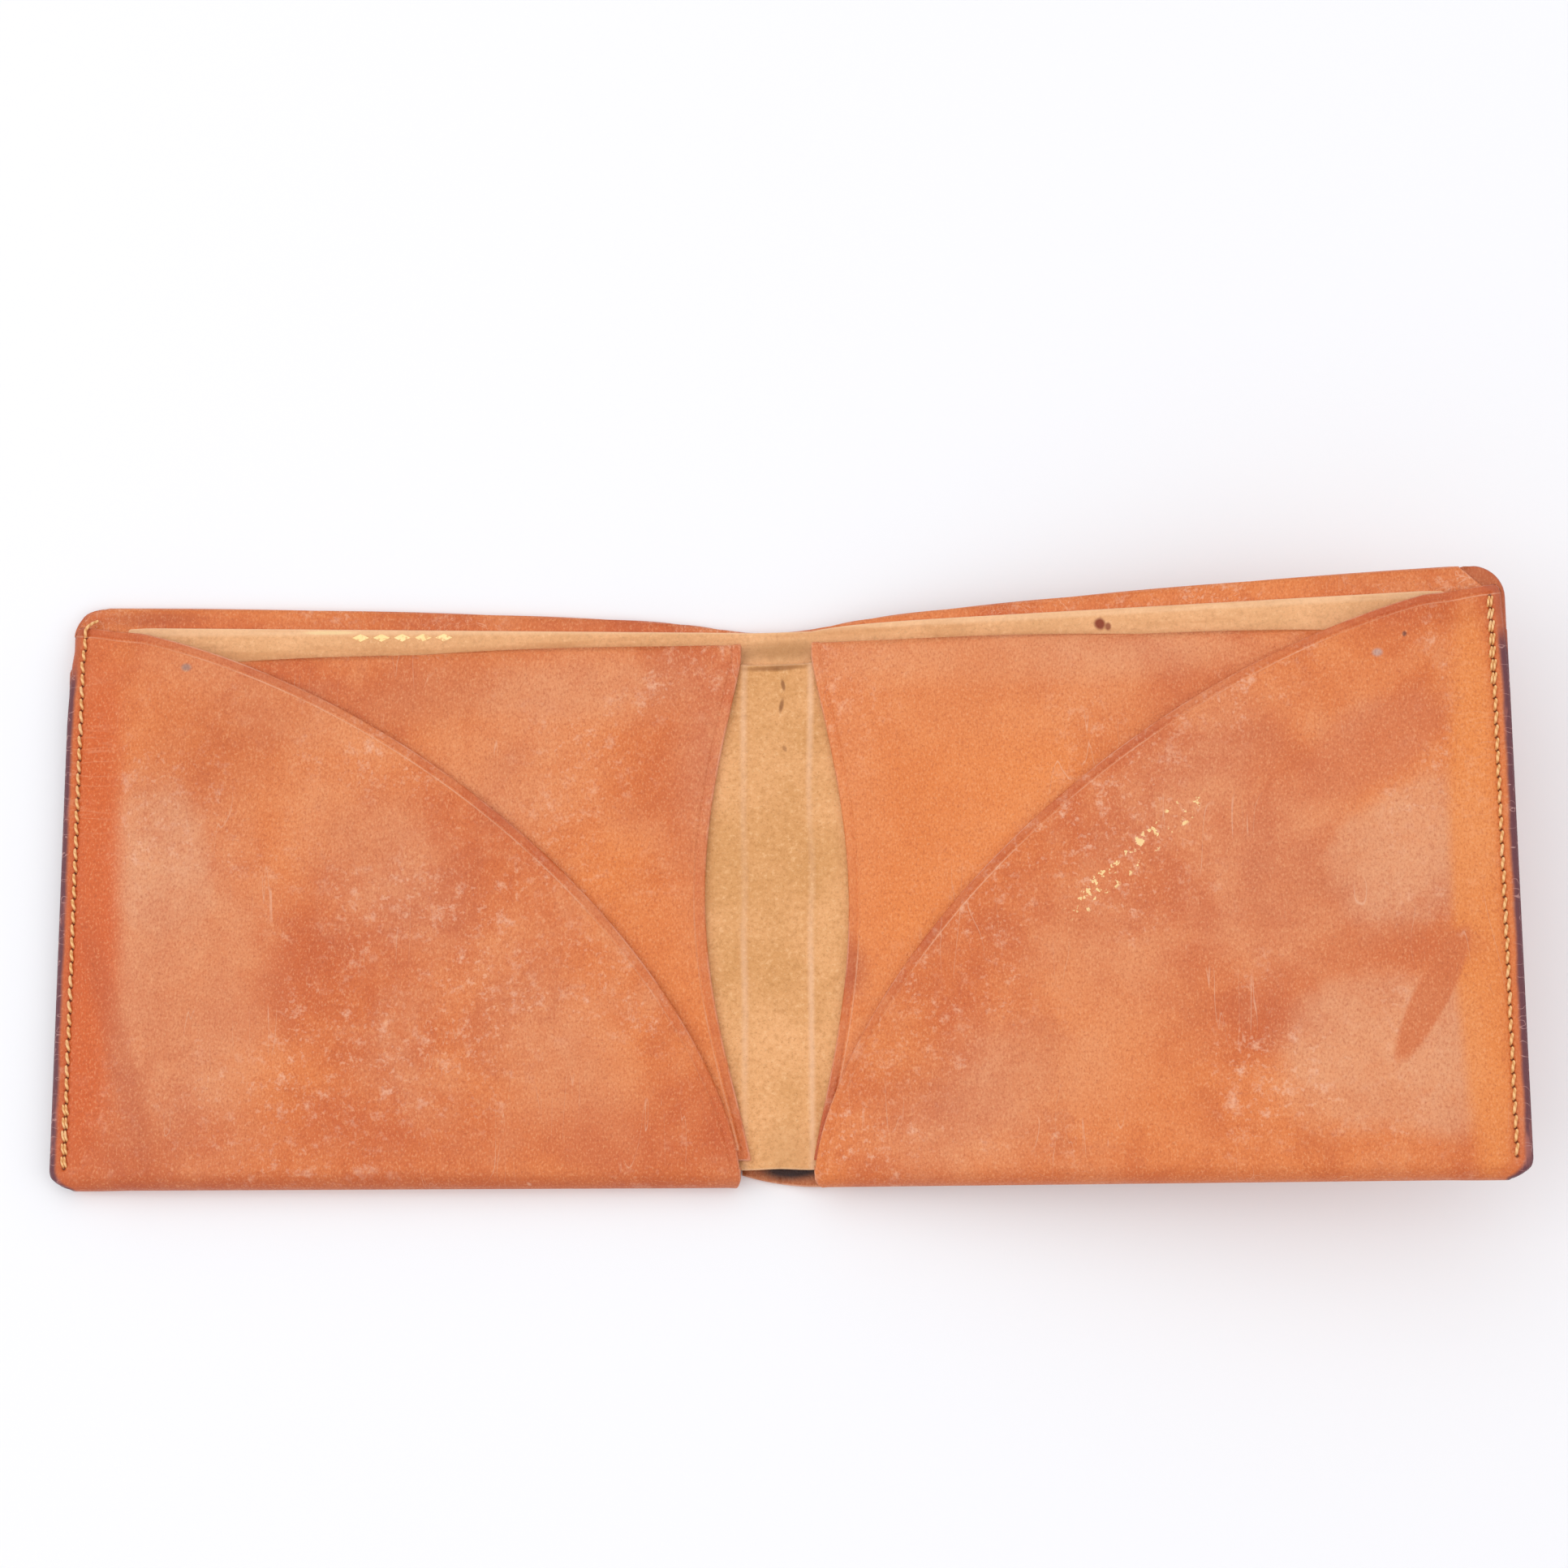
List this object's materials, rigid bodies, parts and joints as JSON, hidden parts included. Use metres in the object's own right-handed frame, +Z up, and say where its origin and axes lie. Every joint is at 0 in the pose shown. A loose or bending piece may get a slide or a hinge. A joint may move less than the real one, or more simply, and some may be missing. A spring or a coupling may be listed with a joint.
{
  "type": "bifold wallet",
  "caption": "Leather billfold lying open: two sewn card-pocket leaves with curved flaps and a full-width note divider, hinged on a narrow creased spine",
  "frame": {"origin": "bottom centre of the bounding box of the billfold lying open, on the surface it rests on", "axes": "+X along the width from the left leaf to the right leaf, +Y from the bottom folds to the mouth of the note compartment, +Z up from the left leaf's outer face"},
  "size_m": [0.2286, 0.095, 0.0301],
  "materials": {
    "russet_cover": "semi-gloss, worn",
    "russet_panel": "semi-gloss",
    "tan_divider": "satin",
    "tan_lining": "suede-like matt",
    "waxed_thread": "waxed",
    "gold_foil": "stamped foil, worn"
  },
  "bodies": {
    "left_leaf": {"left_cover_back": "russet_cover", "left_top_hem": "russet_cover", "left_bottom_fold": "russet_cover", "left_pocket_flap": "russet_cover", "left_divider": "tan_divider", "left_lining": "tan_lining", "left_pocket_panel": "russet_panel", "left_panel_hem": "russet_panel", "left_seam_thread": "waxed_thread", "left_thread_tail": "waxed_thread", "foil_ornament": "gold_foil"},
    "spine": {"spine_cover": "russet_cover", "spine_top_hem": "russet_cover", "spine_divider": "tan_divider", "spine_lining": "tan_lining"},
    "right_leaf": {"right_cover_back": "russet_cover", "right_top_hem": "russet_cover", "right_bottom_fold": "russet_cover", "right_pocket_flap": "russet_cover", "right_divider": "tan_divider", "right_lining": "tan_lining", "right_pocket_panel": "russet_panel", "right_panel_hem": "russet_panel", "right_seam_thread": "waxed_thread"}
  },
  "joints": [
    {"name": "left_crease", "type": "hinge", "parent": "left_leaf", "child": "spine", "pos_m": [-0.00428, -0.0475, 0.0011], "axis": [0, -1, 0], "range_deg": [-6.5, 83.5], "stiffness_Nm_per_rad": 0.05, "springref_deg": 22.92, "deforming": ["spine_divider", "spine_lining"]},
    {"name": "right_crease", "type": "hinge", "parent": "spine", "child": "right_leaf", "pos_m": [0.00685, -0.0475, 0.00237], "axis": [0, -1, 0], "range_deg": [-6.5, 83.5], "stiffness_Nm_per_rad": 0.05, "springref_deg": 22.92}
  ],
  "couplings": [
    {"joint": "right_crease", "follows": "left_crease", "ratio": 1}
  ]
}
